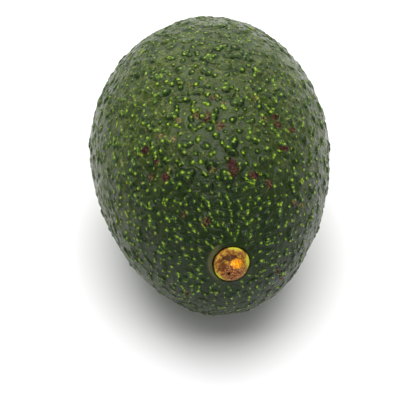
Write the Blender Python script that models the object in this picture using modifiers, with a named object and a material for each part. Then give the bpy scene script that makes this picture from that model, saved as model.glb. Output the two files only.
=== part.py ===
"""Avocado lying on its side: a pebbled fruit with its woody stem button seated in the narrow end.

Metres, +Z up. The long axis runs along Y with the stem end at -Y. The origin is the middle of the
small flat spot that the fruit rests on.
"""

import math
import random

import bmesh
import bpy
import numpy as np
from mathutils import Matrix, Vector

# Fruit: two rounded halves that meet at the widest section
FRUIT_LENGTH = 0.098
FRUIT_WIDTH = 0.070
STEM_TO_WIDEST = 0.054
STEM_ROUNDNESS = 1.95
BLOSSOM_ROUNDNESS = 1.85
STEM_LEAN = Vector((0.0018, 0.0, -0.0045))
BLOSSOM_LEAN = Vector((0.0020, 0.0, 0.0))

# Rest pose: the stem end dips until the fruit's weight is over its flat spot
REST_TILT = math.radians(3.3)
REST_FLAT_DEPTH = 0.0006
LOWEST_POINT_TRIES = 20000

# Stem button and its seat, off the tip of the fruit towards the top
STEM_UP = math.radians(17.4)
STEM_SIDE = math.radians(1.6)
SEAT_RADIUS = 0.0053
SEAT_FLOOR_RADIUS = 0.0047
SEAT_DEPTH = 0.0026
SEAT_CLEARANCE = 0.00032
CUTTER_ABOVE_SKIN = 0.004
LIP_WIDTH = 0.0016
LIP_HEIGHT = 0.0003
LIP_POINTS = 30
LIP_STAGGER = math.radians(6)
BUTTON_SEGMENTS = 44
BUTTON_TOP_RINGS = 9
BUTTON_EDGE_ROUND = 0.00035
BUTTON_RIM_WIDTH = 0.0011
BUTTON_RIM_RISE = 0.0006
BUTTON_DISH_RISE = 0.0001
STUB_OFFSET = Vector((0.0006, -0.0020))
STUB_TOP_RADIUS = 0.0019
STUB_FOOT_RADIUS = 0.0029
STUB_RISE = 0.0013
CRUST_RELIEF = 0.00015
CRUST_WAVELENGTH = 0.0019
CRUST_SKEW = Vector((0.3, -0.2))

# Pebbles
PEBBLE_SEED = 7
PEBBLE_TRIES = 26000
PEBBLE_SPACING = 0.00470
PEBBLE_SIDES = 6
PEBBLE_CROWN_SIDES = 4
PEBBLE_CROWN_SHARE = 0.48
PEBBLE_RADIUS = (0.00160, 0.00234)
PEBBLE_STEEPNESS = (0.24, 0.36)
SMOOTH_NEAR_STEM = 0.009
PEBBLED_FROM_STEM = 0.030
STEM_PEBBLE_SHARE = 0.22

# Surface colours, as linear RGB, and finishes
SKIN_COLOUR = (0.045, 0.085, 0.028, 1.0)
SKIN_ROUGHNESS = 0.45
BUTTON_COLOUR = (0.42, 0.22, 0.04, 1.0)
BUTTON_ROUGHNESS = 0.75
SHARP_ANGLE = math.radians(50)

# Half of the step, as a share of a unit direction, over which a normal is measured
NORMAL_STEP = 1e-3
MERGE_DISTANCE = 0.00001


def clear_scene():
    for obj in list(bpy.data.objects):
        bpy.data.objects.remove(obj)


def smoothstep(low, high, value):
    share = min(1.0, max(0.0, (value - low) / (high - low)))
    return share * share * (3.0 - 2.0 * share)


def new_collection(name, hidden=False):
    collection = bpy.data.collections.new(name)
    collection.hide_render = hidden
    bpy.context.scene.collection.children.link(collection)
    return collection


def surface_material(name, colour, roughness):
    material = bpy.data.materials.new(name)
    material.use_nodes = True
    shader = material.node_tree.nodes["Principled BSDF"]
    shader.inputs["Base Color"].default_value = colour
    shader.inputs["Roughness"].default_value = roughness
    shader.inputs["Metallic"].default_value = 0.0
    material.diffuse_color = colour
    return material


def level_skin(direction):
    """The smooth skin, before it is tipped and set down, in a direction from the widest section."""
    along = -direction.y
    ring = Vector((direction.x, 0.0, direction.z))
    round_the_axis = ring.normalized() if ring.length > 1e-9 else Vector()
    if along > 0.0:
        half_length = STEM_TO_WIDEST
        roundness = STEM_ROUNDNESS
        lean = STEM_LEAN
    else:
        half_length = FRUIT_LENGTH - STEM_TO_WIDEST
        roundness = BLOSSOM_ROUNDNESS
        lean = BLOSSOM_LEAN
    share = min(1.0, abs(along))
    radius = 0.5 * FRUIT_WIDTH * math.sqrt(max(0.0, 1.0 - share**roundness))
    return round_the_axis * radius + Vector((0.0, -half_length * along, 0.0)) + lean * share**2


def direction_to(place):
    """The direction whose smooth level skin is nearest to a place beside it."""
    half_length = STEM_TO_WIDEST if place.y < 0.0 else FRUIT_LENGTH - STEM_TO_WIDEST
    along = max(-1.0, min(1.0, -place.y / half_length))
    lean = STEM_LEAN if along > 0.0 else BLOSSOM_LEAN
    ring = place - lean * along**2
    ring.y = 0.0
    ring = ring.normalized() * math.sqrt(1.0 - along**2)
    return Vector((ring.x, -along, ring.z)).normalized()


def level_normal(direction):
    """The outward normal of the level skin in that direction."""
    side = direction.orthogonal().normalized() * NORMAL_STEP
    up = direction.cross(side).normalized() * NORMAL_STEP
    across = level_skin((direction + side).normalized()) - level_skin((direction - side).normalized())
    upward = level_skin((direction + up).normalized()) - level_skin((direction - up).normalized())
    return across.cross(upward).normalized()


def stem_direction():
    return Vector((math.sin(STEM_SIDE), -1.0, math.tan(STEM_UP))).normalized()


def golden_directions(count):
    """Directions spread evenly over a sphere along a golden-angle spiral."""
    golden_angle = math.pi * (3.0 - math.sqrt(5.0))
    for index in range(count):
        height = 1.0 - 2.0 * (index + 0.5) / count
        ring = math.sqrt(1.0 - height**2)
        angle = golden_angle * index
        yield Vector((ring * math.cos(angle), height, ring * math.sin(angle)))


def setting_down():
    """The matrix that tips the level fruit and sets its lowest point just under the floor's level."""
    tip = Matrix.Rotation(REST_TILT, 4, "X")
    tries = golden_directions(LOWEST_POINT_TRIES)
    lowest = min((tip @ level_skin(direction) for direction in tries), key=lambda place: place.z)
    lift = Vector((-lowest.x, -lowest.y, -lowest.z - REST_FLAT_DEPTH))
    return Matrix.Translation(lift) @ tip


def pebble_layout():
    """Seeded random pebbles that keep their distance: places on the level skin, radii and heights."""
    rng = random.Random(PEBBLE_SEED)
    stem = level_skin(stem_direction())
    places = np.empty((PEBBLE_TRIES, 3))
    pebbles = []
    for _ in range(PEBBLE_TRIES):
        direction = Vector((rng.gauss(0, 1), rng.gauss(0, 1), rng.gauss(0, 1))).normalized()
        radius = rng.uniform(*PEBBLE_RADIUS)
        height = radius * rng.uniform(*PEBBLE_STEEPNESS)
        place = level_skin(direction)
        from_stem = (place - stem).length
        if from_stem < SEAT_RADIUS + LIP_WIDTH + radius:
            continue
        taken = places[: len(pebbles)]
        if len(taken) and np.linalg.norm(taken - place, axis=1).min() < PEBBLE_SPACING:
            continue
        places[len(pebbles)] = place
        swell = smoothstep(SMOOTH_NEAR_STEM, PEBBLED_FROM_STEM, from_stem)
        height *= STEM_PEBBLE_SHARE + (1.0 - STEM_PEBBLE_SHARE) * swell
        pebbles.append((direction, radius, height))
    return pebbles


def ring_directions(direction, radius, sides, turn):
    """Directions to a ring of points on the skin round the place in that direction."""
    normal = level_normal(direction)
    across = normal.orthogonal().normalized()
    upward = normal.cross(across)
    centre = level_skin(direction)
    for side in range(sides):
        angle = turn + math.tau * side / sides
        yield direction_to(centre + radius * (across * math.cos(angle) + upward * math.sin(angle)))


def skin_points(pebbles):
    """Every point of the faceted skin: its direction and its height over the smooth skin."""
    rng = random.Random(PEBBLE_SEED)
    points = []
    for direction, radius, height in pebbles:
        turn = rng.uniform(0.0, math.tau)
        crown = ring_directions(direction, PEBBLE_CROWN_SHARE * radius, PEBBLE_CROWN_SIDES, turn)
        foot = ring_directions(direction, radius, PEBBLE_SIDES, turn + math.pi / PEBBLE_SIDES)
        points.extend((d, height) for d in crown)
        points.extend((d, 0.0) for d in foot)
    stem = stem_direction()
    inner = ring_directions(stem, SEAT_RADIUS - LIP_WIDTH, LIP_POINTS // 2, 0.0)
    crest = ring_directions(stem, SEAT_RADIUS, LIP_POINTS, 0.0)
    outer = ring_directions(stem, SEAT_RADIUS + LIP_WIDTH, LIP_POINTS, LIP_STAGGER)
    points.append((stem, 0.0))
    points.extend((d, 0.0) for d in inner)
    points.extend((d, LIP_HEIGHT) for d in crest)
    points.extend((d, 0.0) for d in outer)
    return points


def pebbled_skin(collection, place_fruit):
    """The fruit: a hull over all its directions, pushed out to the skin and pressed flat below."""
    points = skin_points(pebble_layout())
    skin = bmesh.new()
    raised = skin.verts.layers.float.new("raised")
    for direction, height in points:
        vertex = skin.verts.new(direction)
        vertex[raised] = height
    bmesh.ops.convex_hull(skin, input=skin.verts)
    bmesh.ops.triangulate(skin, faces=skin.faces)
    for vertex in skin.verts:
        direction = vertex.co.normalized()
        place = place_fruit @ (level_skin(direction) + level_normal(direction) * vertex[raised])
        vertex.co = (place.x, place.y, max(place.z, 0.0))
    bmesh.ops.recalc_face_normals(skin, faces=skin.faces)
    skin.verts.layers.float.remove(raised)
    mesh = bpy.data.meshes.new("fruit")
    skin.to_mesh(mesh)
    skin.free()
    mesh.shade_smooth()
    fruit = bpy.data.objects.new("fruit", mesh)
    fruit.data.materials.append(surface_material("pebbled_skin", SKIN_COLOUR, SKIN_ROUGHNESS))
    collection.objects.link(fruit)
    return fruit


def turned(name, profile, segments, collection):
    """A closed turned shape from a profile of (radius, height) pairs, listed from the top down."""
    outline = bmesh.new()
    ends = [outline.verts.new((radius, 0.0, height)) for radius, height in profile]
    for above, below in zip(ends, ends[1:]):
        outline.edges.new((above, below))
    mesh = bpy.data.meshes.new(name)
    outline.to_mesh(mesh)
    outline.free()
    obj = bpy.data.objects.new(name, mesh)
    collection.objects.link(obj)
    screw = obj.modifiers.new("turn", "SCREW")
    screw.steps = segments
    screw.render_steps = segments
    screw.use_merge_vertices = True
    screw.merge_threshold = MERGE_DISTANCE
    return obj


def stem_frame(place_fruit):
    """The matrix that puts a piece's +Z along the stem's axis, with its base point on the skin."""
    direction = stem_direction()
    outward = place_fruit.to_3x3() @ level_normal(direction)
    upward = (Vector((0.0, 0.0, 1.0)) - outward * outward.z).normalized()
    across = upward.cross(outward)
    turn = Matrix((across, upward, outward)).transposed().to_4x4()
    return Matrix.Translation(place_fruit @ level_skin(direction)) @ turn


def cut_seat(fruit, collection, frame):
    """Cuts the round seat of the stem button into the narrow end."""
    profile = [
        (0.0, CUTTER_ABOVE_SKIN),
        (SEAT_RADIUS, CUTTER_ABOVE_SKIN),
        (SEAT_RADIUS, 0.0),
        (SEAT_FLOOR_RADIUS, -SEAT_DEPTH),
        (0.0, -SEAT_DEPTH),
    ]
    cutter = turned("seat_cutter", profile, BUTTON_SEGMENTS, collection)
    cutter.matrix_world = frame
    cutter.hide_render = True
    cutter.display_type = "WIRE"
    cut = fruit.modifiers.new("seat", "BOOLEAN")
    cut.operation = "DIFFERENCE"
    cut.object = cutter


def button_height(x, y):
    """How far the button's top stands over the skin: a rim, a crusted dish and the snapped-off stub."""
    radius = math.hypot(x, y)
    button_radius = SEAT_RADIUS - SEAT_CLEARANCE
    rim = smoothstep(button_radius - 2.0 * BUTTON_RIM_WIDTH, button_radius - BUTTON_RIM_WIDTH, radius)
    height = BUTTON_DISH_RISE + (BUTTON_RIM_RISE - BUTTON_DISH_RISE) * rim
    from_stub = math.hypot(x - STUB_OFFSET.x, y - STUB_OFFSET.y)
    stub = 1.0 - smoothstep(STUB_TOP_RADIUS, STUB_FOOT_RADIUS, from_stub)
    wave = math.tau / CRUST_WAVELENGTH
    lumps = math.sin(wave * (x + CRUST_SKEW.x * y)) * math.sin(wave * (y + CRUST_SKEW.y * x))
    height += (STUB_RISE - BUTTON_RIM_RISE * rim) * stub
    return height + CRUST_RELIEF * lumps * max(stub, 1.0 - rim)


def stem_button(collection, frame):
    """The woody button, turned like a plug, with its top raised by button_height."""
    outer = SEAT_RADIUS - SEAT_CLEARANCE
    foot = SEAT_FLOOR_RADIUS - SEAT_CLEARANCE
    base = -SEAT_DEPTH + SEAT_CLEARANCE
    top_radius = outer - BUTTON_EDGE_ROUND
    top = [(top_radius * ring / BUTTON_TOP_RINGS, 0.0) for ring in range(BUTTON_TOP_RINGS + 1)]
    sides = [(outer, -BUTTON_EDGE_ROUND), (foot, base), (0.0, base)]
    button = turned("stem_button", top + sides, BUTTON_SEGMENTS, collection)
    graph = bpy.context.evaluated_depsgraph_get()
    button.data = bpy.data.meshes.new_from_object(button.evaluated_get(graph))
    button.modifiers.clear()
    for vertex in button.data.vertices:
        if vertex.co.z > -0.5 * BUTTON_EDGE_ROUND:
            vertex.co.z = button_height(vertex.co.x, vertex.co.y)
    button.data.shade_smooth()
    button.data.set_sharp_from_angle(angle=SHARP_ANGLE)
    button.data.materials.append(surface_material("woody_button", BUTTON_COLOUR, BUTTON_ROUGHNESS))
    button.matrix_world = frame
    return button


def main():
    clear_scene()
    avocado = new_collection("avocado")
    cutters = new_collection("cutters", hidden=True)
    place_fruit = setting_down()
    fruit = pebbled_skin(avocado, place_fruit)
    frame = stem_frame(place_fruit)
    cut_seat(fruit, cutters, frame)
    stem_button(avocado, frame)


main()
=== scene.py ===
"""Looks of a whole avocado: pebbled waxy skin, a woody stem button and a pale studio floor.

Metres, +Z up. The long axis runs along Y with the stem end at -Y, and the origin is the middle of
the flat spot that the fruit rests on. The fruit is shaped level and is then tipped and set down.
"""

import math
import random

import bpy
import numpy as np
from bpy.props import FloatProperty, FloatVectorProperty, PointerProperty
from mathutils import Matrix, Vector, kdtree, noise


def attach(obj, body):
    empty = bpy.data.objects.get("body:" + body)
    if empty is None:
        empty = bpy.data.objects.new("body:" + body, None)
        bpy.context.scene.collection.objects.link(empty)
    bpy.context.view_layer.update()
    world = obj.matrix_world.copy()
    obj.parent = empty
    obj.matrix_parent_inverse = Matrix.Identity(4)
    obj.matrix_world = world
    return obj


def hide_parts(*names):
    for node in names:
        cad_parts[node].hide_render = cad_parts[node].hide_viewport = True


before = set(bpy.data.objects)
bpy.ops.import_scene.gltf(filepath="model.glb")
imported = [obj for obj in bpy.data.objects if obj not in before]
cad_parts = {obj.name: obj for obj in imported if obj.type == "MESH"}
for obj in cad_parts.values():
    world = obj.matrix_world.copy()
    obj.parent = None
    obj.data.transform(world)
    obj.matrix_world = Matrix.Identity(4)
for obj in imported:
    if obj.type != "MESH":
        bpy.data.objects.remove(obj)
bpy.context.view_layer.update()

bl_info = {
    "name": "Avocado",
    "version": (1, 0, 0),
    "blender": (4, 5, 0),
    "location": "View3D > Sidebar > Avocado",
    "description": "Models a whole avocado with its pebbled skin and stem button, on a pale floor",
    "category": "Add Mesh",
}

# Form of the fruit that the solids have: two rounded halves with slightly leaning ends
STEM_ROUNDNESS = 1.95
BLOSSOM_ROUNDNESS = 1.85
STEM_LEAN = np.array((0.0018, 0.0, -0.0045))
BLOSSOM_LEAN = np.array((0.0020, 0.0, 0.0))
STEM_UP = math.radians(17.4)
STEM_SIDE = math.radians(1.6)
REST_FLAT_DEPTH = 0.0006
LOWEST_POINT_TRIES = 20000
NORMAL_STEP = 1e-3
LEAST_LENGTH = 1e-9

# Pebbles that the solids have
PEBBLE_SEED = 7
PEBBLE_TRIES = 26000
PEBBLE_STEEPNESS = (0.24, 0.36)
SMOOTH_NEAR_STEM = 0.009
PEBBLED_FROM_STEM = 0.030
STEM_PEBBLE_SHARE = 0.22
LIP_WIDTH = 0.0016
LIP_HEIGHT = 0.0003

# Fine relief of the skin: ragged pebbles, smaller ones between them, creases and specks. All of
# them are boldest on the upper side of the stem end. LOBE_TOPS and PLAIN_SIDE_TONE are each a least
# share and how much more is added to it
BOLD_SIDE = np.array((0.0, -0.74, 0.67))
BOLD_WITHIN = (math.cos(math.radians(64)), math.cos(math.radians(30)))
SKIN_CUTS = (8, 13)
RAGGED_WAVELENGTH = 0.0026
RAGGED_REACH = 0.0010
RAGGED_SHIFTS = (3.0, 34.0, 71.0)
PEBBLE_GROWTH = (1.0, 1.5)
PEBBLE_REACH = 0.8
PEBBLE_BASE = 0.6
LOBE_REACH = 0.6
LOBE_TOPS = (0.7, 0.3)
SHOULDER_WIDTH = 0.72
FOOT_REACH = 1.6
BASE_DROP = 0.00018
SMALL_SEED = 3
SMALL_TRIES = 20000
SMALL_SPACING = (0.0022, 0.0024)
SMALL_RADIUS = (0.00090, 0.00150)
SMALL_STEEPNESS = (0.24, 0.40)
CREASE_WAVELENGTH = 0.0062
CREASE_HEIGHT = 0.00030
CREASE_SHARPNESS = 3.2
SWELLING_WAVELENGTH = 0.0075
SWELLING_HEIGHT = 0.00036
SWELLING_SHIFT = 9.0
SPECK_SEED = 11
SPECKS_ON_A_PEBBLE = (1, 2, 2, 3, 3, 4)
SPECKS_ON_A_SMALL_ONE = (1, 1, 2)
SPECK_TRIES = 26000
SPECK_SPACING = (0.0016, 0.0019)
PEBBLE_SPECK_TONE = (0.35, 1.0)
LONE_SPECK_TONE = (0.0, 0.40)
LONE_SPECK_LIFT = (0.34, 0.16)
PLAIN_SIDE_TONE = (0.6, 0.4)
ONE_SPECK_REACH = (0.0, 0.3)
GROUPED_SPECK_REACH = (0.3, 0.65)
GROUPED_SPECK_TURN = (-0.2, 0.2)
CLEAR_OF_LIP = 0.6
SPECKS_COMPARED = 4
SPECK_STRETCH = 0.68
STRETCHED_WITHIN = (0.010, 0.032)
SMALLER_SPECKS = 0.62

# Scuffed pebble tops: those of the photograph's side, as millimetres right of and above the
# middle of the widest section when seen from the camera, with their radii and how dry each is, from
# 0 for a dark one to 1 for a tan one; others are scattered
SCARS = (
    (6.5, -4.6, 1.7, 0.0), (6.9, -6.0, 1.6, 0.0),
    (-17.6, -0.4, 1.2, 0.1), (-16.9, -1.4, 0.9, 0.1),
    (-14.3, -4.3, 1.0, 0.2), (-15.7, -7.9, 1.0, 0.5),
    (-11.8, -7.9, 1.2, 0.1), (-3.8, 9.0, 1.3, 0.6),
    (-0.4, 8.9, 1.3, 0.5), (-0.5, 7.6, 1.2, 0.3),
    (3.0, 6.2, 1.4, 0.4), (1.0, 13.3, 1.0, 0.4),
    (-5.0, 17.0, 0.8, 0.6), (-9.4, 2.0, 0.9, 0.9),
    (18.0, 8.6, 1.0, 0.1), (18.7, 6.6, 1.2, 0.2),
    (22.7, 4.9, 1.3, 0.3), (19.6, -0.4, 1.0, 0.1),
    (21.3, -0.2, 1.0, 0.2), (12.1, -7.4, 1.3, 0.2),
    (16.0, -9.4, 1.2, 0.3), (-6.7, -18.0, 1.0, 0.5),
    (-0.7, -19.8, 1.3, 0.4), (23.0, -15.0, 1.0, 0.6),
    (25.7, -15.7, 1.0, 0.8), (19.0, -33.7, 0.9, 0.3),
    (20.3, -35.8, 1.0, 0.4), (-5.8, -39.9, 1.0, 0.6),
    (3.6, 11.7, 1.1, 1.0), (15.2, 7.8, 1.2, 1.0),
    (12.9, 13.8, 1.0, 0.9), (1.2, -5.8, 1.2, 0.9),
    (-13.3, 3.4, 1.0, 0.9), (-8.6, 7.5, 1.0, 0.9),
)
SCAR_SEED = 5
SCATTERED_SCARS = 60
SCATTERED_RADIUS = (0.0006, 0.0011)
SCATTERED_FACING = 0.12
SCAR_REACH = 2.0
OUT_OF_SIGHT = 1.0
SEEN_FROM = (-3.7, 40.7)

# Stem button. DISH_CRUST is a least share and how much more is added to it
BUTTON_CELLS = 150
GRID_MARGIN = 1.05
SEAT_FLOOR_RADIUS = 0.0047
SEAT_MOUTH_ROUND = 0.00025
CRUMB_SIZE = 0.0007
CRUMB_HEIGHT = 0.00026
CRUMB_NOISE = (0.8, 2.0, 3)
FRESH_PLACE = (0.0017, 0.0000)
HOLE_PLACE = (-0.0004, -0.0026)
HOLE_DEPTH = 0.0009
STUB_OFFSET = Vector((0.0006, -0.0020))
FLAT_SIDE = math.radians(135)
FLAT_DEPTH = 0.14
OUTLINE_WAVES = ((0.012, 3.0, 1.0), (0.008, 5.0, 0.0))
TIGHT_SIDE = math.radians(-30)
TIGHTENING = 0.045
LOOSENING = 0.8
RIM_BAND = (0.0022, 0.0011)
DISH_CRUST = (0.25, 0.5)
FRESH_WIDTH = 1.2
FRESH_EDGE = (0.0007, 0.0013)
HOLE_WIDTH = 0.6
HOLE_EDGE = (0.0001, 0.0005)
TOP_ROUND = 0.0003
TOP_BEVEL = 0.0001
TOP_DROP = 0.0002
RIM_PATCHES = (
    ((0.0016, 0.0043), (0.0018, 0.0012)),
    ((0.0051, 0.0008), (0.0009, 0.0021)),
    ((-0.0035, -0.0032), (0.0012, 0.0021)),
)
STUB_TOP_RADIUS = 0.0019
STUB_FOOT_RADIUS = 0.0029
OVAL_EDGE = (1.85, 1.55)

# Colours of small markings, some of them painted shade and painted highlights, and the sizes of
# patterns that are in no user's hands. Real wrinkles and cork crumbs are mostly finer than a pixel of
# the render, about 0.3 mm, so they are drawn coarser
DARK_MOTTLE = "#1F2E05"
PALE_GRAIN = "#3E5014"
DARK_BLOTCH = "#132404"
# Pale green painted on the crease ridges: a painted highlight, the sheen on the ridges between pebbles
CREASE_HIGHLIGHT = "#66703C"
# Pale green painted along thin wandering lines: a painted highlight, the sheen on small ridges
PALE_LINE_HIGHLIGHT = "#626C32"
# Darker green painted towards the stem end: painted shade on the lower front of the fruit
STEM_END_SHADE = "#0C1E03"
DRY_SPECK = "#A88C54"
DRY_LIP = "#5E5A38"
BARK = "#A8882A"
DARK_BARK = "#7A5418"
DARK_CORK = "#B05A16"
CORK_GAP = "#34140A"
FRESH_CRACK = "#C86400"
DRY_DISH = "#BC9226"
DISH_CRACK = "#4A1A0C"
DISH_MAROON = "#3A100C"
DISH_SHADE = "#5A2A0C"
# Near-black painted in the button's small hole: painted shade in the recess
HOLE_SHADE = "#120804"
SPECK_EDGE_SIZE = 0.0005
SPECK_EDGE_SHIFT = 0.0012
SPECK_RISE = 0.00022
SPECK_SIZES = (0.6, 1.2)
SPECK_GUARD = (1.25, -0.00038)
SKIN_BLOTCH_SIZES = (0.006, 0.002, 0.0016, 0.0011, 0.0007, 0.0004, 0.0003)
LINE_WIDTH = 0.045
LINE_RISE = 0.00011
WRINKLE_SIZE = 0.001
WRINKLE_RISE = 0.00003
PEBBLE_RISE = 0.00028
GRAIN_RISE = 0.00006
SCAR_RAGGEDNESS = 2.4
SCAR_EDGE = (1.20, 1.42)
WAX_ROUGHNESS = 0.25
SCAR_ROUGHNESS = 0.7
BUTTON_BLOTCH_SIZES = (0.0012, 0.0006, 0.00022)
CORK_CRUMB_SIZE = 0.00042
CORK_GAP_SIZE = 0.00055
CORK_RISE = 0.00022
OVAL_RAGGEDNESS = 1.4
BARK_RAGGEDNESS = 0.0016
CORK_ROUGHNESS = 0.6
MOIST_ROUGHNESS = 0.3

# Studio: each light's place and its width and depth
SOFTBOX = (Vector((0.0, 0.03, 0.95)), (1.0, 1.1))
PANEL = (Vector((0.0, 1.15, 0.62)), (1.8, 0.6))
SENSOR_WIDTH = 36.0
NEAREST_VIEW = 0.01


def hex_colour(code):
    """An sRGB hex colour as linear RGB."""
    channels = [int(code[start : start + 2], 16) / 255 for start in (1, 3, 5)]
    return tuple(c / 12.92 if c <= 0.04045 else ((c + 0.055) / 1.055) ** 2.4 for c in channels)


def smoothstep(low, high, value):
    share = np.clip((value - low) / (high - low), 0.0, 1.0)
    return share * share * (3.0 - 2.0 * share)


def length_setting(name, description, default):
    return FloatProperty(name=name, description=description, default=default, unit="LENGTH")


def angle_setting(name, description, degrees):
    default = math.radians(degrees)
    return FloatProperty(name=name, description=description, default=default, unit="ROTATION")


def power_setting(name, description, default):
    return FloatProperty(name=name, description=description, default=default, unit="POWER")


def colour_setting(name, description, code):
    default = hex_colour(code)
    return FloatVectorProperty(name=name, description=description, default=default, subtype="COLOR")


class AvocadoFruit(bpy.types.PropertyGroup):
    length: length_setting("Length", "From the stem end to the blossom end", 0.098)
    width: length_setting("Width", "Across the widest section", 0.070)
    stem_to_widest: length_setting("Stem to widest", "From the stem end to the widest section", 0.054)
    rest_tilt: angle_setting("Rest tilt", "How far the stem end dips when the fruit lies at rest", 3.3)
    pebble_spacing: length_setting("Pebble spacing", "Least distance between two pebbles", 0.0047)
    pebble_least: length_setting("Smallest pebble", "Radius of the smallest pebble", 0.0016)
    pebble_most: length_setting("Largest pebble", "Radius of the largest pebble", 0.00234)
    speck_radius: length_setting("Speck radius", "Radius of a lenticel speck", 0.00044)
    skin_colour: colour_setting("Skin", "Dark green of the skin", "#223906")
    # The slopes' deep green is painted shade: it darkens each pebble's foot and every steep side
    slope_shade_colour: colour_setting("Slopes", "Deep green of the pebbles' sides", "#0F2703")
    # The valleys' duller, paler green is partly the skin's own colour and partly a painted sheen
    valley_colour_and_sheen: colour_setting("Valleys", "Duller green between the pebbles", "#364412")
    speck_colour: colour_setting("Specks", "Yellow-green of the lenticels", "#A2B42C")
    halo_colour: colour_setting("Speck surrounds", "Fresh green round the lenticels", "#40660F")
    scar_colour: colour_setting("Scars", "Dark red-brown of scuffed pebble tops", "#2C0806")
    scuff_colour: colour_setting("Scuffs", "Dry tan flecks in the scars", "#7C6640")


class AvocadoButton(bpy.types.PropertyGroup):
    seat_radius: length_setting("Seat radius", "Radius of the seat in the fruit", 0.0053)
    seat_depth: length_setting("Seat depth", "Depth of the seat in the fruit", 0.0026)
    clearance: length_setting("Clearance", "Dry crack round the button", 0.00032)
    rim_rise: length_setting("Rim rise", "Height of the rim over the skin", 0.0006)
    dish_rise: length_setting("Dish rise", "Height of the dish over the skin", 0.0001)
    stub_rise: length_setting("Stub rise", "Height of the stalk's stub over the skin", 0.0013)
    rim_colour: colour_setting("Rim", "Yellow-green bark ring", "#B8B428")
    dish_colour: colour_setting("Dish", "Dark dried tissue", "#8A4A14")
    stub_colour: colour_setting("Stub", "Tan corky wood", "#E4A25C")
    fresh_colour: colour_setting("Fresh break", "Moist orange wood where the stalk broke", "#FFAE00")


class AvocadoStage(bpy.types.PropertyGroup):
    camera_distance: length_setting("Camera distance", "From the widest section's middle", 0.450)
    camera_elevation: angle_setting("Camera elevation", "Above the horizon", SEEN_FROM[1])
    camera_azimuth: angle_setting(
        "Camera azimuth", "Turn round the fruit from straight in front of the stem end", SEEN_FROM[0]
    )
    aim: FloatVectorProperty(
        name="Aim",
        description="Point that is in the middle of the picture",
        subtype="TRANSLATION",
        unit="LENGTH",
        default=(-0.0042, -0.0217, 0.0345),
    )
    focal_length: FloatProperty(
        name="Focal length", description="In millimetres, on a 36 mm sensor", default=133.3
    )
    floor_size: length_setting("Floor size", "Side of the floor", 4.0)
    floor_colour: colour_setting("Floor", "Pale matt paper", "#ECECEC")
    softbox_power: power_setting("Softbox power", "Of the large light overhead", 13.6)
    panel_power: power_setting("Panel power", "Of the white panel low behind", 6.0)
    surround: FloatProperty(
        name="Surround", description="Brightness of the white studio round the floor", default=0.46, min=0.0
    )


def smooth_skin(directions, fruit):
    """Places on the smooth level skin in unit directions from the middle of the widest section."""
    along = -directions[:, 1]
    stemward = along > 0.0
    half_length = np.where(stemward, fruit.stem_to_widest, fruit.length - fruit.stem_to_widest)
    roundness = np.where(stemward, STEM_ROUNDNESS, BLOSSOM_ROUNDNESS)
    lean = np.where(stemward[:, None], STEM_LEAN, BLOSSOM_LEAN)
    share = np.minimum(np.abs(along), 1.0)
    radius = 0.5 * fruit.width * np.sqrt(np.maximum(1.0 - share**roundness, 0.0))
    ring = directions * np.array((1.0, 0.0, 1.0))
    ring /= np.maximum(np.linalg.norm(ring, axis=1, keepdims=True), LEAST_LENGTH)
    places = ring * radius[:, None] + lean * share[:, None] ** 2
    places[:, 1] -= half_length * along
    return places


def unit(vectors):
    return vectors / np.linalg.norm(vectors, axis=1, keepdims=True)


def skin_normals(directions, fruit):
    """Outward normals of the smooth level skin in those directions."""
    helper = np.where(np.abs(directions[:, :1]) < 0.6, (1.0, 0.0, 0.0), (0.0, 0.0, 1.0))
    side = unit(np.cross(helper, directions)) * NORMAL_STEP
    up = unit(np.cross(directions, side)) * NORMAL_STEP
    across = smooth_skin(unit(directions + side), fruit) - smooth_skin(unit(directions - side), fruit)
    upward = smooth_skin(unit(directions + up), fruit) - smooth_skin(unit(directions - up), fruit)
    return unit(np.cross(across, upward))


def stem_direction():
    return Vector((math.sin(STEM_SIDE), -1.0, math.tan(STEM_UP))).normalized()


def stem_place(fruit):
    """The middle of the stem end on the smooth level skin, as one row."""
    return smooth_skin(np.array(stem_direction())[None, :], fruit)


def stem_distances(places, fruit):
    return np.linalg.norm(places - stem_place(fruit), axis=1)


def relief_share(from_stem):
    """How much of the relief shows at those distances from the stem, from 0 to 1."""
    return smoothstep(SMOOTH_NEAR_STEM, PEBBLED_FROM_STEM, from_stem)


def lower_near_stem(heights, from_stem):
    """Pebble heights, which sink to a small share of themselves towards the stem."""
    return heights * (STEM_PEBBLE_SHARE + (1.0 - STEM_PEBBLE_SHARE) * relief_share(from_stem))


def random_directions(rng, count):
    return unit(np.array([[rng.gauss(0, 1) for _ in range(3)] for _ in range(count)]))


def setting_down(fruit):
    """The matrix that tips the level fruit and sets its lowest point just under the floor's level."""
    golden_angle = math.pi * (3.0 - math.sqrt(5.0))
    index = np.arange(LOWEST_POINT_TRIES)
    height = 1.0 - 2.0 * (index + 0.5) / LOWEST_POINT_TRIES
    ring = np.sqrt(1.0 - height**2)
    turn = golden_angle * index
    directions = np.column_stack((ring * np.cos(turn), height, ring * np.sin(turn)))
    tip = Matrix.Rotation(fruit.rest_tilt, 4, "X")
    places = smooth_skin(directions, fruit) @ np.array(tip.to_3x3()).T
    lowest = places[places[:, 2].argmin()]
    return Matrix.Translation((-lowest[0], -lowest[1], -lowest[2] - REST_FLAT_DEPTH)) @ tip


def moved(places, matrix):
    """Places, as rows, put through a 4x4 matrix."""
    turn = np.array(matrix)
    return places @ turn[:3, :3].T + turn[:3, 3]


def stem_frame(fruit, place_fruit):
    """The matrix that puts +Z along the stem button's axis and +Y up the fruit, on the skin."""
    direction = np.array(stem_direction())[None, :]
    normal = Vector(skin_normals(direction, fruit)[0])
    outward = (place_fruit.to_3x3() @ normal).normalized()
    upward = (Vector((0.0, 0.0, 1.0)) - outward * outward.z).normalized()
    across = upward.cross(outward)
    turn = Matrix((across, upward, outward)).transposed().to_4x4()
    place = Vector(smooth_skin(direction, fruit)[0])
    return Matrix.Translation(place_fruit @ place) @ turn


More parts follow.
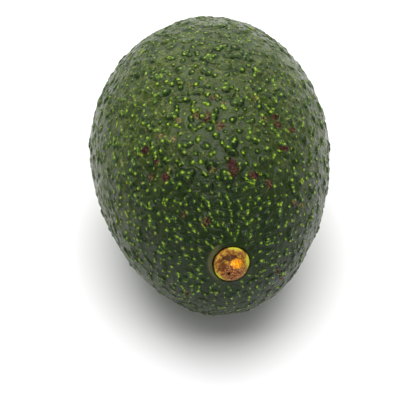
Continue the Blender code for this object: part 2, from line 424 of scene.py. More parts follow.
def pebble_layout(fruit, seat_radius):
    """The solids' pebbles: their directions, radii and heights, from the same seeded draws."""
    rng = random.Random(PEBBLE_SEED)
    draws = []
    for _ in range(PEBBLE_TRIES):
        direction = (rng.gauss(0, 1), rng.gauss(0, 1), rng.gauss(0, 1))
        radius = rng.uniform(fruit.pebble_least, fruit.pebble_most)
        draws.append((*direction, radius, radius * rng.uniform(*PEBBLE_STEEPNESS)))
    draws = np.array(draws)
    directions = unit(draws[:, :3])
    places = smooth_skin(directions, fruit)
    from_stem = stem_distances(places, fruit)
    kept = []
    for index in range(PEBBLE_TRIES):
        if from_stem[index] < seat_radius + LIP_WIDTH + draws[index, 3]:
            continue
        if kept and np.linalg.norm(places[kept] - places[index], axis=1).min() < fruit.pebble_spacing:
            continue
        kept.append(index)
    return directions[kept], draws[kept, 3], lower_near_stem(draws[kept, 4], from_stem[kept])


def boldness(directions):
    """How bold the relief is in those directions, from 0 to 1."""
    return smoothstep(*BOLD_WITHIN, directions @ BOLD_SIDE / np.linalg.norm(BOLD_SIDE))


def small_pebbles(fruit, seat_radius, big_places):
    """Smaller pebbles that fill the room between the solids' own."""
    rng = random.Random(SMALL_SEED)
    tries = random_directions(rng, SMALL_TRIES)
    radii = np.array([rng.uniform(*SMALL_RADIUS) for _ in range(SMALL_TRIES)])
    heights = radii * np.array([rng.uniform(*SMALL_STEEPNESS) for _ in range(SMALL_TRIES)])
    places = smooth_skin(tries, fruit)
    from_stem = stem_distances(places, fruit)
    plain, bold = SMALL_SPACING
    chosen = spread_out(places, plain + (bold - plain) * boldness(tries), big_places)
    chosen = chosen[from_stem[chosen] > seat_radius + LIP_WIDTH + SMALL_RADIUS[1]]
    return tries[chosen], radii[chosen], lower_near_stem(heights[chosen], from_stem[chosen])


def spread_out(places, spacings, taken):
    """Indices of places that keep their spacing from the taken ones and from each other."""
    kept = np.empty((len(taken) + len(places), 3))
    kept[: len(taken)] = taken
    count = len(taken)
    chosen = []
    for index, (place, spacing) in enumerate(zip(places, spacings)):
        if ((kept[:count] - place) ** 2).sum(axis=1).min() > spacing**2:
            kept[count] = place
            count += 1
            chosen.append(index)
    return np.array(chosen)


def speck_layout(fruit, seat_radius, directions, radii, big_count):
    """Lenticel specks: some on each pebble and fainter ones between.

    Gives their places, how marked each is, and the index of the pebble it sits on or -1.
    """
    rng = random.Random(SPECK_SEED)
    specks = []
    tones = []
    hosts = []
    centres = smooth_skin(directions, fruit)
    normals = skin_normals(directions, fruit)
    least, more = PLAIN_SIDE_TONE
    shares = least + more * boldness(directions)
    for host, (centre, normal, radius) in enumerate(zip(centres, normals, radii)):
        across = Vector(normal).orthogonal().normalized()
        upward = Vector(normal).cross(across)
        count = rng.choice(SPECKS_ON_A_PEBBLE if host < big_count else SPECKS_ON_A_SMALL_ONE)
        turn = rng.uniform(0.0, math.tau)
        for speck in range(count):
            reach = radius * rng.uniform(*(ONE_SPECK_REACH if count == 1 else GROUPED_SPECK_REACH))
            angle = turn + math.tau * (speck + rng.uniform(*GROUPED_SPECK_TURN)) / count
            offset = across * math.cos(angle) + upward * math.sin(angle)
            specks.append(centre + reach * np.array(offset))
            tones.append(rng.uniform(*PEBBLE_SPECK_TONE) * shares[host])
            hosts.append(host)
    tries = random_directions(rng, SPECK_TRIES)
    places = smooth_skin(tries, fruit)
    near, far = SPECK_SPACING
    swell = relief_share(stem_distances(places, fruit))
    chosen = spread_out(places, near + (far - near) * swell, np.array(specks))
    at_stem, on_plain = LONE_SPECK_LIFT
    lift = at_stem * (1.0 - swell) + on_plain * (1.0 - boldness(tries)) * swell
    tones += [lift[index] + rng.uniform(*LONE_SPECK_TONE) for index in chosen]
    hosts += [-1] * len(chosen)
    specks = np.vstack((specks, places[chosen]))
    clear = stem_distances(specks, fruit) > seat_radius + CLEAR_OF_LIP * LIP_WIDTH
    return specks[clear], np.array(tones)[clear], np.array(hosts)[clear]


def tree_of(places):
    tree = kdtree.KDTree(len(places))
    for index, place in enumerate(places):
        tree.insert(place, index)
    tree.balance()
    return tree


def raise_bumps(heights, tree, centres, radii, tops, profile, reach=1.0):
    """Raises the skin to the highest of the bumps that reach each place."""
    for centre, radius, top in zip(centres, radii, tops):
        for _, index, distance in tree.find_range(centre, reach * radius):
            heights[index] = max(heights[index], top * profile(distance / radius))


def hump(share):
    """A pebble's profile: flat-topped, with a steep shoulder and a soft foot."""
    rise = min(1.0, (1.0 - share) / SHOULDER_WIDTH)
    return rise * rise * (3.0 - 2.0 * rise)


def cone(share):
    """From 1 in a pebble's middle to 0 at its foot, and on below 0 beyond it."""
    return 1.0 - share


def noise_row(places, wavelength, shift):
    """Smooth noise from -1 to 1 at each place; the shift tells one pattern from another."""
    start = Vector((shift, -shift, 2.0 * shift))
    return np.array([noise.noise(Vector(place) / wavelength + start) for place in places])


def crease_row(places, wavelength):
    """Sharp-crested ridges from 0 to 1 that run between the pebbles."""
    return np.maximum(0.0, 1.0 - CREASE_SHARPNESS * np.abs(noise_row(places, wavelength, 0.0)))


def flat_distance(offsets, outward, near_stem):
    """Distances to specks, with the specks near the stem stretched away from it."""
    along = np.sum(offsets * outward, axis=-1)
    squared = np.sum(offsets**2, axis=-1) - SPECK_STRETCH * near_stem * along**2
    return np.sqrt(np.maximum(squared, 0.0))


def set_attribute(mesh, name, kind, values):
    attribute = mesh.attributes.new(name, kind, "POINT")
    field = "vector" if kind == "FLOAT_VECTOR" else "value"
    attribute.data.foreach_set(field, np.ascontiguousarray(values, np.float32).ravel())


def edit_mode():
    bpy.ops.object.mode_set(mode="EDIT")


def object_mode():
    bpy.ops.object.mode_set(mode="OBJECT")


def read_places(mesh):
    places = np.empty(len(mesh.vertices) * 3, np.float32)
    mesh.vertices.foreach_get("co", places)
    return places.reshape(-1, 3).astype(float)


def write_places(mesh, places):
    mesh.vertices.foreach_set("co", np.ascontiguousarray(places, np.float32).ravel())
    mesh.update()


def ball_of_squares(name):
    """A cube cut into fine squares, still to be rounded."""
    bpy.ops.object.select_all(action="DESELECT")
    bpy.ops.mesh.primitive_cube_add(size=2.0)
    ball = bpy.context.active_object
    ball.name = name
    ball.data.name = name
    edit_mode()
    for cuts in SKIN_CUTS:
        bpy.ops.mesh.subdivide(number_cuts=cuts)
    object_mode()
    return ball


def select_places(mesh, chosen):
    """Selects the chosen vertices, and the edges and faces that have only chosen corners."""
    mesh.vertices.foreach_set("select", chosen)
    for group in (mesh.edges, mesh.polygons):
        for part in group:
            part.select = all(chosen[corner] for corner in part.vertices)


def seat_outline(x, y):
    """The seat's radius towards each place, as a share of the full one: its upper left is flatter."""
    turn = np.arctan2(y, x)
    outline = 1.0 - FLAT_DEPTH * (0.5 + 0.5 * np.cos(turn - FLAT_SIDE)) ** 3
    for height, count, start in OUTLINE_WAVES:
        outline += height * np.sin(count * turn + start)
    return outline


def trim_round(mesh, unwanted, outline, radius):
    """Deletes the unwanted vertices and sets the new edge on an outline of that radius."""
    bpy.context.tool_settings.mesh_select_mode = (True, False, False)
    select_places(mesh, unwanted)
    edit_mode()
    bpy.ops.mesh.delete(type="VERT")
    bpy.ops.mesh.select_all(action="DESELECT")
    bpy.ops.mesh.select_non_manifold()
    object_mode()
    edge = np.zeros(len(mesh.vertices), bool)
    mesh.vertices.foreach_get("select", edge)
    places = read_places(mesh)
    x, y = places[edge, :2].T
    places[edge, :2] *= (radius * outline(x, y) / np.hypot(x, y))[:, None]
    write_places(mesh, places)


def draw_down(radius, steps):
    """Draws the trimmed edge down through steps of radius and depth, and closes it."""
    edit_mode()
    depth = 0.0
    for next_radius, next_depth in steps:
        squeeze = next_radius / radius
        fall = (0.0, 0.0, next_depth - depth)
        bpy.ops.mesh.extrude_region_move(TRANSFORM_OT_translate={"value": fall})
        bpy.ops.transform.resize(value=(squeeze, squeeze, 1.0), center_override=(0.0, 0.0, 0.0))
        radius = next_radius
        depth = next_depth
    bpy.ops.mesh.merge(type="CENTER")
    object_mode()


def sink_seat(skin, frame_at_stem, button):
    """Opens the stem end and draws its edge down into the seat of the button."""
    mesh = skin.data
    mesh.transform(frame_at_stem.inverted())
    places = read_places(mesh)
    reach = np.hypot(places[:, 0], places[:, 1])
    reach /= seat_outline(places[:, 0], places[:, 1])
    inside = (reach < button.seat_radius) & (places[:, 2] > -2.0 * button.seat_depth)
    mouth_radius = button.seat_radius + SEAT_MOUTH_ROUND
    trim_round(mesh, inside, seat_outline, mouth_radius)
    draw_down(
        mouth_radius,
        (
            (button.seat_radius + 0.3 * SEAT_MOUTH_ROUND, -0.3 * SEAT_MOUTH_ROUND),
            (button.seat_radius, -SEAT_MOUTH_ROUND),
            (0.5 * (button.seat_radius + SEAT_FLOOR_RADIUS), -0.5 * button.seat_depth),
            (SEAT_FLOOR_RADIUS, -button.seat_depth),
            (0.66 * SEAT_FLOOR_RADIUS, -button.seat_depth),
            (0.33 * SEAT_FLOOR_RADIUS, -button.seat_depth),
        ),
    )
    mesh.transform(frame_at_stem)


def grow_skin(fruit, button, place_fruit, frame_at_stem):
    """The fruit's fine skin: the smooth form, its pebbles, lobes and creases, and the seat."""
    skin = ball_of_squares("pebbled_fruit")
    turn = Vector((0.0, -1.0, 0.0)).rotation_difference(stem_direction()).to_matrix()
    squares = np.tan(read_places(skin.data) * math.pi / 4)
    directions = unit(squares) @ np.array(turn).T
    places = smooth_skin(directions, fruit)
    normals = skin_normals(directions, fruit)
    big = pebble_layout(fruit, button.seat_radius)
    small = small_pebbles(fruit, button.seat_radius, smooth_skin(big[0], fruit))
    pebbles, radii, tops = (np.concatenate(pair) for pair in zip(big, small))
    specks, tones, hosts = speck_layout(fruit, button.seat_radius, pebbles, radii, len(big[0]))
    lobed = hosts >= 0
    plain, bold = PEBBLE_GROWTH
    tops = tops * (plain + (bold - plain) * boldness(pebbles))
    centres = np.vstack((smooth_skin(pebbles, fruit), specks[lobed]))
    reaches = np.concatenate((PEBBLE_REACH * radii, LOBE_REACH * radii[hosts[lobed]]))
    least, more = LOBE_TOPS
    tops = np.concatenate((PEBBLE_BASE * tops, tops[hosts[lobed]] * (least + more * tones[lobed])))
    warps = [noise_row(places, RAGGED_WAVELENGTH, shift) for shift in RAGGED_SHIFTS]
    ragged = places + RAGGED_REACH * np.column_stack(warps)
    tree = tree_of(ragged)
    humps = np.zeros(len(places))
    raise_bumps(humps, tree, centres, reaches, tops, hump)
    shares = np.full(len(places), cone(FOOT_REACH))
    raise_bumps(shares, tree, centres, reaches, np.ones(len(tops)), cone, FOOT_REACH)
    from_stem = stem_distances(places, fruit)
    swell = relief_share(from_stem)
    creases = crease_row(ragged, CREASE_WAVELENGTH) * swell
    lip = LIP_HEIGHT * (1.0 - smoothstep(0.0, LIP_WIDTH, np.abs(from_stem - button.seat_radius)))
    swelling = SWELLING_HEIGHT * noise_row(places, SWELLING_WAVELENGTH, SWELLING_SHIFT) * swell
    raised = np.maximum(humps, CREASE_HEIGHT * creases) + swelling + lip - BASE_DROP * swell
    world = moved(places + normals * raised[:, None], place_fruit)
    world[:, 2] = np.maximum(world[:, 2], 0.0)
    write_places(skin.data, world)
    mark_specks(skin.data, places, specks, tones, world, fruit)
    level_normals = normals @ np.array(place_fruit.to_3x3()).T
    skin.data.update()
    raised_normals = np.empty(len(world) * 3, np.float32)
    skin.data.vertices.foreach_get("normal", raised_normals)
    lean = np.einsum("ij,ij->i", raised_normals.reshape(-1, 3), level_normals)
    # Steepness and the pebble share also set where the painted shade on the pebbles' sides goes
    set_attribute(skin.data, "steepness", "FLOAT", np.sqrt(np.clip(1.0 - lean**2, 0.0, 1.0)))
    set_attribute(skin.data, "pebble", "FLOAT", shares)
    set_attribute(skin.data, "crease", "FLOAT", creases)
    mark_scars(skin.data, world, level_normals, place_fruit)
    sink_seat(skin, frame_at_stem, button)
    bpy.ops.object.select_all(action="DESELECT")
    skin.select_set(True)
    bpy.context.view_layer.objects.active = skin
    bpy.ops.object.shade_smooth()
    return skin


def mark_specks(mesh, places, specks, tones, world, fruit):
    """Stores each place's nearest speck: its centre on the raised skin, its distance and its tone."""
    tree = tree_of(specks)
    near_stem = 1.0 - smoothstep(*STRETCHED_WITHIN, stem_distances(places, fruit))
    outward = unit(places - stem_place(fruit))
    nearest = np.array(
        [[index for _, index, _ in tree.find_n(place, SPECKS_COMPARED)] for place in places]
    )
    offsets = places[:, None, :] - specks[nearest]
    distances = flat_distance(offsets, outward[:, None, :], near_stem[:, None])
    best = distances.argmin(axis=1)
    rows = np.arange(len(places))
    chosen = nearest[rows, best]
    skin_tree = tree_of(places)
    raised_specks = np.array([world[skin_tree.find(speck)[1]] for speck in specks])
    set_attribute(mesh, "speck_centre", "FLOAT_VECTOR", raised_specks[chosen])
    set_attribute(mesh, "speck_distance", "FLOAT", distances[rows, best])
    set_attribute(mesh, "speck_tone", "FLOAT", tones[chosen])


def mark_scars(mesh, world, normals, place_fruit):
    """Stores how deep in a scuffed patch each place is, from -1 well outside it to 1 in its
    middle, and how dry that patch is.
    """
    turn, rise = (math.radians(angle) for angle in SEEN_FROM)
    towards_eye = Vector(
        (math.cos(rise) * math.sin(turn), -math.cos(rise) * math.cos(turn), math.sin(rise))
    )
    right = Vector((math.cos(turn), math.sin(turn), 0.0))
    above = towards_eye.cross(right)
    facing = normals @ np.array(towards_eye)
    middle = np.array(place_fruit.translation)
    seen = np.column_stack(((world - middle) @ np.array(right), (world - middle) @ np.array(above)))
    seen[facing < 0.0] = OUT_OF_SIGHT
    centres = []
    radii = []
    dryness = []
    for across, up, radius, dry in SCARS:
        offsets = seen - np.array((across, up)) / 1000.0
        centres.append(world[np.einsum("ij,ij->i", offsets, offsets).argmin()])
        radii.append(radius / 1000.0)
        dryness.append(dry)
    rng = random.Random(SCAR_SEED)
    hidden = np.flatnonzero(facing < SCATTERED_FACING)
    for _ in range(SCATTERED_SCARS):
        centres.append(world[rng.choice(hidden)])
        radii.append(rng.uniform(*SCATTERED_RADIUS))
        dryness.append(rng.random())
    scar = np.full(len(world), 1.0 - SCAR_REACH)
    dry_share = np.zeros(len(world))
    tree = tree_of(world)
    for centre, radius, dry in zip(centres, radii, dryness):
        for _, index, distance in tree.find_range(centre, SCAR_REACH * radius):
            depth = 1.0 - distance / radius
            if depth > scar[index]:
                scar[index] = depth
                dry_share[index] = dry
    set_attribute(mesh, "scar", "FLOAT", scar)
    set_attribute(mesh, "dryness", "FLOAT", dry_share)


def add_node(tree, kind, settings, output=0):
    """Adds one node of Blender's kind ShaderNode and that name, and gives one of its outputs.

    Each setting is a property's or a socket's value, or the socket to link from.
    """
    node = tree.nodes.new("ShaderNode" + kind)
    for name, value in settings.items():
        if isinstance(value, bpy.types.NodeSocket):
            tree.links.new(value, node.inputs[name])
        elif isinstance(name, int) or name in node.inputs:
            node.inputs[name].default_value = value
        else:
            setattr(node, name, value)
    return node.outputs[output]


def new_material(name):
    material = bpy.data.materials.new(name)
    material.use_nodes = True
    material.node_tree.nodes.clear()
    return material


def finish_material(material, settings):
    """Puts the surface's shader and the output on a material."""
    tree = material.node_tree
    surface = add_node(tree, "BsdfPrincipled", settings)
    tree.links.new(surface, tree.nodes.new("ShaderNodeOutputMaterial").inputs["Surface"])
    return material


def spread(value, start, end, low, high, kind="SMOOTHSTEP"):
    """Settings for a range that is low where the value is at the start, and high at the end."""
    return {
        "interpolation_type": kind,
        "Value": value,
        "From Min": start,
        "From Max": end,
        "To Min": low,
        "To Max": high,
    }


def paint(tree, below, above, value, start, end, strength=1.0):
    """Lays a colour over another: none of it where the value is at the start, all at the end."""
    share = add_node(tree, "MapRange", spread(value, start, end, 0.0, strength))
    colours = [c if isinstance(c, bpy.types.NodeSocket) else (*c, 1.0) for c in (below, above)]
    settings = {"data_type": "RGBA", "Factor": share, 6: colours[0], 7: colours[1]}
    return add_node(tree, "Mix", settings, 2)


def raise_relief(tree, layers):
    """A bump from layers of relief, each a value, where it starts and ends, and its height."""
    height = 0.0
    for value, start, end, rise in layers:
        layer = add_node(tree, "MapRange", spread(value, start, end, 0.0, rise))
        height = add_node(tree, "Math", {0: height, 1: layer})
    return add_node(tree, "Bump", {"Strength": 1.0, "Distance": 1.0, "Height": height})


def speck_share(tree, place, from_stem, stem_distance, tone, fruit):
    """Distance to the nearest speck in speck radii, drawn out away from the stem."""
    centre = add_node(tree, "Attribute", {"attribute_name": "speck_centre"}, "Vector")
    measured = add_node(tree, "Attribute", {"attribute_name": "speck_distance"}, "Fac")
    ragged = add_node(tree, "TexNoise", {"Scale": 0.5 / SPECK_EDGE_SIZE, "Vector": place}, "Color")
    to_middle = (-0.5 * SPECK_EDGE_SHIFT,) * 3
    shift = add_node(
        tree,
        "VectorMath",
        {"operation": "MULTIPLY_ADD", 0: ragged, 1: (SPECK_EDGE_SHIFT,) * 3, 2: to_middle},
    )
    shaken = add_node(tree, "VectorMath", {"operation": "ADD", 0: place, 1: shift})
    offset = add_node(tree, "VectorMath", {"operation": "SUBTRACT", 0: shaken, 1: centre})
    outward = add_node(tree, "VectorMath", {"operation": "NORMALIZE", 0: from_stem})
    along, squared = (
        add_node(tree, "VectorMath", {"operation": "DOT_PRODUCT", 0: offset, 1: other}, "Value")
        for other in (outward, offset)
    )
    near, far = STRETCHED_WITHIN
    stretch = add_node(tree, "MapRange", spread(stem_distance, far, near, 0.0, SPECK_STRETCH))
    along_squared = add_node(tree, "Math", {"operation": "MULTIPLY", 0: along, 1: along})
    saved = add_node(tree, "Math", {"operation": "MULTIPLY", 0: along_squared, 1: stretch})
    left = add_node(tree, "Math", {"operation": "SUBTRACT", 0: squared, 1: saved})
    exact = add_node(tree, "Math", {"operation": "POWER", 0: left, 1: 0.5})
    scale, start = SPECK_GUARD
    guard = add_node(tree, "Math", {"operation": "MULTIPLY_ADD", 0: measured, 1: scale, 2: start})
    distance = add_node(tree, "Math", {"operation": "MAXIMUM", 0: exact, 1: guard})
    least, most = (size * fruit.speck_radius for size in SPECK_SIZES)
    size = add_node(tree, "MapRange", spread(tone, 0.0, 1.0, least, most, "LINEAR"))
    smaller = add_node(
        tree, "MapRange", spread(stem_distance, near, far, SMALLER_SPECKS, 1.0, "LINEAR")
    )
    radius = add_node(tree, "Math", {"operation": "MULTIPLY", 0: size, 1: smaller})
    return add_node(tree, "Math", {"operation": "DIVIDE", 0: distance, 1: radius})


def avocado_skin(fruit, frame_at_stem):
    """Avocado skin, grown: leathery and pebbled, with corky lenticels, under a thin natural wax.

    The wax gives soft highlights on the pebbles' tops. The colour also holds painted light: the
    pebbles' feet and steep sides and the stem end are painted darker green as painted shade, the
    creases and thin lines are painted pale as painted highlights, and the valleys' duller, paler
    green is partly the skin's own and partly a painted sheen.
    """
    material = new_material("waxy_avocado_skin")
    tree = material.node_tree
    place = add_node(tree, "TexCoord", {}, "Object")
    tone, pebble, crease, steepness, scar, dryness = (
        add_node(tree, "Attribute", {"attribute_name": name}, "Fac")
        for name in ("speck_tone", "pebble", "crease", "steepness", "scar", "dryness")
    )
    mottle, dry, wander, blotch, edge, grain, fleck = (
        add_node(tree, "TexNoise", {"Scale": 0.5 / size, "Vector": place})
        for size in SKIN_BLOTCH_SIZES
    )
    stem = frame_at_stem.translation
    from_stem = add_node(tree, "VectorMath", {"operation": "SUBTRACT", 0: place, 1: stem})
    stem_distance = add_node(tree, "VectorMath", {"operation": "LENGTH", 0: from_stem}, "Value")
    share = speck_share(tree, place, from_stem, stem_distance, tone, fruit)
    off_middle = add_node(tree, "Math", {"operation": "SUBTRACT", 0: wander, 1: 0.5})
    off_line = add_node(tree, "Math", {"operation": "ABSOLUTE", 0: off_middle})
    halo_strength, speck_strength, fleck_strength = (
        add_node(tree, "MapRange", spread(value, 0.0, 1.0, least, 1.0, "LINEAR"))
        for value, least in ((tone, 0.2), (tone, 0.3), (dryness, 0.15))
    )
    speck = paint(tree, fruit.speck_colour, hex_colour(DRY_SPECK), dry, 0.56, 0.66)
    sideways = add_node(tree, "SeparateXYZ", {0: from_stem}, "X")
    on_left = add_node(tree, "MapRange", spread(sideways, -0.0015, -0.004, 0.0, 0.65))
    # Starts from the valleys' green, which is partly the skin's own and partly a painted sheen
    body = fruit.valley_colour_and_sheen
    for colour, value, start, end, strength in (
        # Painted shade: darker green round each pebble's foot and on steep sides, the tops' own green
        # between
        (fruit.slope_shade_colour, pebble, -0.10, 0.14, 1.0),
        (fruit.skin_colour, pebble, 0.30, 0.62, 1.0),
        (fruit.slope_shade_colour, steepness, 0.20, 0.60, 1.0),
        (hex_colour(DARK_MOTTLE), mottle, 0.40, 0.65, 0.4),
        (hex_colour(PALE_GRAIN), grain, 0.45, 0.70, 0.5),
        (hex_colour(DARK_BLOTCH), blotch, 0.50, 0.64, 0.6),
        # Painted highlights: pale crease ridges and thin pale lines
        (hex_colour(CREASE_HIGHLIGHT), crease, 0.70, 1.0, 0.35),
        (hex_colour(PALE_LINE_HIGHLIGHT), off_line, LINE_WIDTH, 0.0, 0.5),
        # Painted shade: darker green towards the stem end
        (hex_colour(STEM_END_SHADE), stem_distance, 0.055, 0.014, 0.84),
        (fruit.halo_colour, share, 1.9, 0.7, halo_strength),
        (speck, share, 1.0, 0.25, speck_strength),
        (hex_colour(DRY_LIP), stem_distance, 0.0065, 0.0056, on_left),
    ):
        body = paint(tree, body, colour, value, start, end, strength)
    scar_depth = add_node(
        tree, "Math", {"operation": "MULTIPLY_ADD", 0: edge, 1: SCAR_RAGGEDNESS, 2: scar}
    )
    worn = paint(tree, fruit.scar_colour, body, dryness, 0.2, 1.0)
    worn = paint(tree, worn, fruit.scuff_colour, fleck, 0.48, 0.57, fleck_strength)
    colour = paint(tree, body, worn, scar_depth, *SCAR_EDGE)
    cells = add_node(
        tree,
        "TexVoronoi",
        {"feature": "DISTANCE_TO_EDGE", "Scale": 1.0 / WRINKLE_SIZE, "Vector": place},
        "Distance",
    )
    speck_rise = add_node(
        tree, "MapRange", spread(tone, 0.0, 1.0, 0.2 * SPECK_RISE, SPECK_RISE, "LINEAR")
    )
    normal = raise_relief(
        tree,
        (
            (cells, 0.0, 0.12, WRINKLE_RISE),
            (share, 2.2, 0.4, speck_rise),
            (pebble, -0.05, 0.5, PEBBLE_RISE),
            (grain, 0.0, 1.0, GRAIN_RISE),
            (off_line, LINE_WIDTH, 0.0, LINE_RISE),
        ),
    )
    wear = spread(scar_depth, *SCAR_EDGE, WAX_ROUGHNESS, SCAR_ROUGHNESS, "LINEAR")
    roughness = add_node(tree, "MapRange", wear)
    gloss = {"IOR": 1.45, "Specular IOR Level": 0.24, "Roughness": roughness}
    return finish_material(material, {"Base Color": colour, "Normal": normal, **gloss})


def button_outline(x, y):
    """The button's own outline: the seat's, but closer to the skin on its lower right."""
    tight = 0.5 + 0.5 * np.cos(np.arctan2(y, x) - TIGHT_SIDE)
    return seat_outline(x, y) * (1.0 + TIGHTENING * ((1.0 + LOOSENING) * tight - LOOSENING))


def button_top(x, y, button):
    """How far the button's top stands over the skin: a rim, a dish and the stalk's stub."""
    radius = np.hypot(x, y) / button_outline(x, y)
    outer = button.seat_radius - button.clearance
    rim = smoothstep(outer - RIM_BAND[0], outer - RIM_BAND[1], radius)
    from_stub = np.hypot(x - STUB_OFFSET.x, y - STUB_OFFSET.y)
    stub = 1.0 - smoothstep(STUB_TOP_RADIUS, STUB_FOOT_RADIUS, from_stub)
    height = button.dish_rise + (button.rim_rise - button.dish_rise) * rim
    height += (button.stub_rise - button.rim_rise * rim) * stub
    crumbs = np.array(
        [noise.fractal(Vector((u, v, 0.0)) / CRUMB_SIZE, *CRUMB_NOISE) for u, v in zip(x, y)]
    )
    least, more = DISH_CRUST
    crusted = np.maximum(stub, least + more * (1.0 - rim))
    crusted *= smoothstep(*FRESH_EDGE, np.hypot((x - FRESH_PLACE[0]) / FRESH_WIDTH, y - FRESH_PLACE[1]))
    height += CRUMB_HEIGHT * crumbs * crusted
    hole = np.hypot(x - HOLE_PLACE[0], HOLE_WIDTH * (y - HOLE_PLACE[1]))
    height -= HOLE_DEPTH * (1.0 - smoothstep(*HOLE_EDGE, hole))
    edge = smoothstep(outer - 2.0 * TOP_ROUND, outer - TOP_ROUND, radius)
    return height * (1.0 - edge) + (button.rim_rise - TOP_DROP) * edge


def carve_button(button, frame_at_stem):
    """The stem button: a fine grid cut round, drawn down into a plug, with its top raised."""
    bpy.ops.object.select_all(action="DESELECT")
    outer = button.seat_radius - button.clearance
    bpy.ops.mesh.primitive_grid_add(
        x_subdivisions=BUTTON_CELLS, y_subdivisions=BUTTON_CELLS, size=2.0 * GRID_MARGIN * outer
    )
    plug = bpy.context.active_object
    plug.name = "carved_stem_button"
    plug.data.name = plug.name
    places = read_places(plug.data)
    reach = np.hypot(places[:, 0], places[:, 1]) / button_outline(places[:, 0], places[:, 1])
    top_radius = outer - TOP_ROUND
    trim_round(plug.data, reach > top_radius, button_outline, top_radius)
    foot = SEAT_FLOOR_RADIUS - button.clearance
    shoulder = -TOP_BEVEL - TOP_ROUND
    wall = shoulder - button.rim_rise
    floor = wall + button.clearance - button.seat_depth - button.rim_rise
    draw_down(
        top_radius,
        (
            (outer - TOP_BEVEL, -TOP_BEVEL),
            (outer, shoulder),
            (outer, wall),
            (foot, floor),
            (0.5 * foot, floor),
        ),
    )
    places = read_places(plug.data)
    set_attribute(plug.data, "button_place", "FLOAT_VECTOR", places)
    top = places[:, 2] > -0.5 * TOP_BEVEL
    places[~top, 2] += button.rim_rise - TOP_DROP
    places[top, 2] = button_top(places[top, 0], places[top, 1], button)
    write_places(plug.data, places)
    plug.data.transform(frame_at_stem)
    bpy.ops.object.shade_smooth()
    return plug


def oval_reach(tree, place, middle, reach, ragged):
    """Distance from an oval's middle on the button's face, as a share of its reach, made ragged."""
    offset = add_node(tree, "VectorMath", {"operation": "SUBTRACT", 0: place, 1: (*middle, 0.0)})
    shrink = (1.0 / reach[0], 1.0 / reach[1], 0.0)
    scaled = add_node(tree, "VectorMath", {"operation": "MULTIPLY", 0: offset, 1: shrink})
    length = add_node(tree, "VectorMath", {"operation": "LENGTH", 0: scaled}, "Value")
    settings = {"operation": "MULTIPLY_ADD", 0: ragged, 1: OVAL_RAGGEDNESS, 2: length}
    return add_node(tree, "Math", settings)


def corky_wood(button):
    """Corky wood of a stem scar, dried: matt and crumbly, with a moist orange break."""
    material = new_material("corky_stem_wood")
    tree = material.node_tree
    place = add_node(tree, "Attribute", {"attribute_name": "button_place"}, "Vector")
    wide, blotch, grain = (
        add_node(tree, "TexNoise", {"Scale": 0.5 / size, "Vector": place})
        for size in BUTTON_BLOTCH_SIZES
    )
    radius = add_node(tree, "VectorMath", {"operation": "LENGTH", 0: place}, "Value")
    rim_reach = add_node(
        tree, "Math", {"operation": "MULTIPLY_ADD", 0: wide, 1: BARK_RAGGEDNESS, 2: radius}
    )
    bark = paint(tree, hex_colour(BARK), hex_colour(DARK_BARK), blotch, 0.40, 0.60)
    for middle, reach in RIM_PATCHES:
        patch = oval_reach(tree, place, middle, reach, grain)
        bark = paint(tree, bark, button.rim_colour, patch, *OVAL_EDGE)
    crumbs = add_node(tree, "TexVoronoi", {"Scale": 1.0 / CORK_CRUMB_SIZE, "Vector": place}, "Color")
    crumb = add_node(tree, "SeparateColor", {0: crumbs})
    gap = add_node(
        tree,
        "TexVoronoi",
        {"feature": "DISTANCE_TO_EDGE", "Scale": 1.0 / CORK_GAP_SIZE, "Vector": place},
        "Distance",
    )
    cork = paint(tree, hex_colour(DARK_CORK), button.stub_colour, crumb, 0.0, 1.0)
    cork = paint(tree, cork, hex_colour(CORK_GAP), gap, 0.26, 0.04, 0.9)
    moist = paint(tree, button.fresh_colour, hex_colour(FRESH_CRACK), grain, 0.48, 0.58)
    maroon = oval_reach(tree, place, (-0.0002, 0.0016), (0.0024, 0.0008), blotch)
    shade = oval_reach(tree, place, (-0.0022, -0.0004), (0.0010, 0.0018), blotch)
    stub = oval_reach(tree, place, (0.0008, -0.0024), (0.0027, 0.0025), grain)
    fresh = oval_reach(tree, place, FRESH_PLACE, (0.0015, 0.0012), blotch)
    hole = oval_reach(tree, place, HOLE_PLACE, (0.00034, 0.0005), grain)
    colour = button.dish_colour
    for layer, value, start, end, strength in (
        (hex_colour(DRY_DISH), blotch, 0.42, 0.60, 1.0),
        (hex_colour(DISH_CRACK), grain, 0.52, 0.68, 1.0),
        (hex_colour(DISH_MAROON), maroon, *OVAL_EDGE, 0.75),
        (hex_colour(DISH_SHADE), shade, *OVAL_EDGE, 0.7),
        (bark, rim_reach, 0.0048, 0.0053, 1.0),
        (cork, stub, *OVAL_EDGE, 1.0),
        (moist, fresh, *OVAL_EDGE, 1.0),
        # Painted shade: the small hole painted near-black
        (hex_colour(HOLE_SHADE), hole, *OVAL_EDGE, 1.0),
    ):
        colour = paint(tree, colour, layer, value, start, end, strength)
    normal = raise_relief(tree, ((grain, 0.0, 1.0, CORK_RISE),))
    moisture = spread(fresh, *OVAL_EDGE, CORK_ROUGHNESS, MOIST_ROUGHNESS, "LINEAR")
    roughness = add_node(tree, "MapRange", moisture)
    gloss = {"IOR": 1.45, "Specular IOR Level": 0.4, "Roughness": roughness}
    return finish_material(material, {"Base Color": colour, "Normal": normal, **gloss})


def matt_paper(colour):
    """Studio paper, uncoated: flat and matt, with no grain at this distance."""
    settings = {"Base Color": (*colour, 1.0), "Roughness": 0.9, "Specular IOR Level": 0.0}
    return finish_material(new_material("matt_studio_paper"), settings)


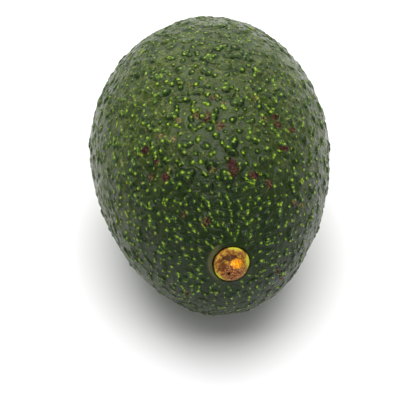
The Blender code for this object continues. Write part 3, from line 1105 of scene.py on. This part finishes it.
def light_studio(context, stage):
    """A softbox overhead and a white panel low behind the fruit, in an evenly grey room."""
    for name, (place, size), power in (
        ("softbox", SOFTBOX, stage.softbox_power),
        ("white_panel", PANEL, stage.panel_power),
    ):
        bpy.ops.object.light_add(type="AREA", location=place)
        light = context.active_object
        light.name = name
        light.data.shape = "RECTANGLE"
        light.data.size, light.data.size_y = size
        light.data.energy = power
        light.rotation_euler = place.to_track_quat("Z", "Y").to_euler()
        light.visible_camera = False
    world = bpy.data.worlds.new("grey_room")
    world.use_nodes = True
    background = world.node_tree.nodes["Background"]
    background.inputs["Color"].default_value = (1.0, 1.0, 1.0, 1.0)
    background.inputs["Strength"].default_value = stage.surround
    context.scene.world = world
    context.scene.view_settings.view_transform = "Standard"


def place_camera(context, stage, middle):
    """The camera at the photograph's height and side, aimed without tilt to either side."""
    level = math.cos(stage.camera_elevation)
    back = Vector(
        (
            level * math.sin(stage.camera_azimuth),
            -level * math.cos(stage.camera_azimuth),
            math.sin(stage.camera_elevation),
        )
    )
    bpy.ops.object.camera_add(location=Vector(middle) + back * stage.camera_distance)
    camera = context.active_object
    camera.name = "camera"
    camera.data.lens = stage.focal_length
    camera.data.sensor_width = SENSOR_WIDTH
    camera.data.clip_start = NEAREST_VIEW
    towards = Vector(stage.aim) - camera.location
    camera.rotation_euler = towards.to_track_quat("-Z", "Y").to_euler()
    context.scene.camera = camera


class AVOCADO_OT_fruit(bpy.types.Operator):
    """Models the pebbled fruit and gives it its waxy skin"""

    bl_idname = "avocado.fruit"
    bl_label = "Fruit"

    def execute(self, context):
        fruit = context.scene.avocado_fruit
        button = context.scene.avocado_button
        place_fruit = setting_down(fruit)
        frame_at_stem = stem_frame(fruit, place_fruit)
        skin = grow_skin(fruit, button, place_fruit, frame_at_stem)
        skin.data.materials.append(avocado_skin(fruit, frame_at_stem))
        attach(skin, "root")
        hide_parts("fruit")
        return {"FINISHED"}


class AVOCADO_OT_stem_button(bpy.types.Operator):
    """Models the woody stem button in its seat"""

    bl_idname = "avocado.stem_button"
    bl_label = "Stem button"

    def execute(self, context):
        fruit = context.scene.avocado_fruit
        button = context.scene.avocado_button
        frame_at_stem = stem_frame(fruit, setting_down(fruit))
        plug = carve_button(button, frame_at_stem)
        plug.data.materials.append(corky_wood(button))
        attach(plug, "root")
        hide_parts("stem_button")
        return {"FINISHED"}


class AVOCADO_OT_stage(bpy.types.Operator):
    """Adds the pale floor, the soft lights and the camera"""

    bl_idname = "avocado.stage"
    bl_label = "Stage"

    def execute(self, context):
        stage = context.scene.avocado_stage
        fruit = context.scene.avocado_fruit
        bpy.ops.object.select_all(action="DESELECT")
        bpy.ops.mesh.primitive_plane_add(size=stage.floor_size)
        floor = context.active_object
        floor.name = "floor"
        floor.data.materials.append(matt_paper(stage.floor_colour))
        light_studio(context, stage)
        place_camera(context, stage, setting_down(fruit).translation)
        return {"FINISHED"}


class AVOCADO_PT_panel(bpy.types.Panel):
    """Sizes and colours of the avocado, and the buttons that make it"""

    bl_label = "Avocado"
    bl_idname = "AVOCADO_PT_panel"
    bl_space_type = "VIEW_3D"
    bl_region_type = "UI"
    bl_category = "Avocado"

    def draw(self, context):
        scene = context.scene
        for settings, operator in (
            (scene.avocado_fruit, "avocado.fruit"),
            (scene.avocado_button, "avocado.stem_button"),
            (scene.avocado_stage, "avocado.stage"),
        ):
            box = self.layout.box()
            for name in settings.__annotations__:
                box.prop(settings, name)
            box.operator(operator)


SETTINGS = {
    "avocado_fruit": AvocadoFruit,
    "avocado_button": AvocadoButton,
    "avocado_stage": AvocadoStage,
}
CLASSES = (
    *SETTINGS.values(),
    AVOCADO_OT_fruit,
    AVOCADO_OT_stem_button,
    AVOCADO_OT_stage,
    AVOCADO_PT_panel,
)


def register():
    for kind in CLASSES:
        bpy.utils.register_class(kind)
    for name, kind in SETTINGS.items():
        setattr(bpy.types.Scene, name, PointerProperty(type=kind))


def unregister():
    for name in SETTINGS:
        delattr(bpy.types.Scene, name)
    for kind in reversed(CLASSES):
        bpy.utils.unregister_class(kind)


def main():
    register()
    bpy.ops.avocado.fruit()
    bpy.ops.avocado.stem_button()
    bpy.ops.avocado.stage()


if __name__ == "__main__":
    main()
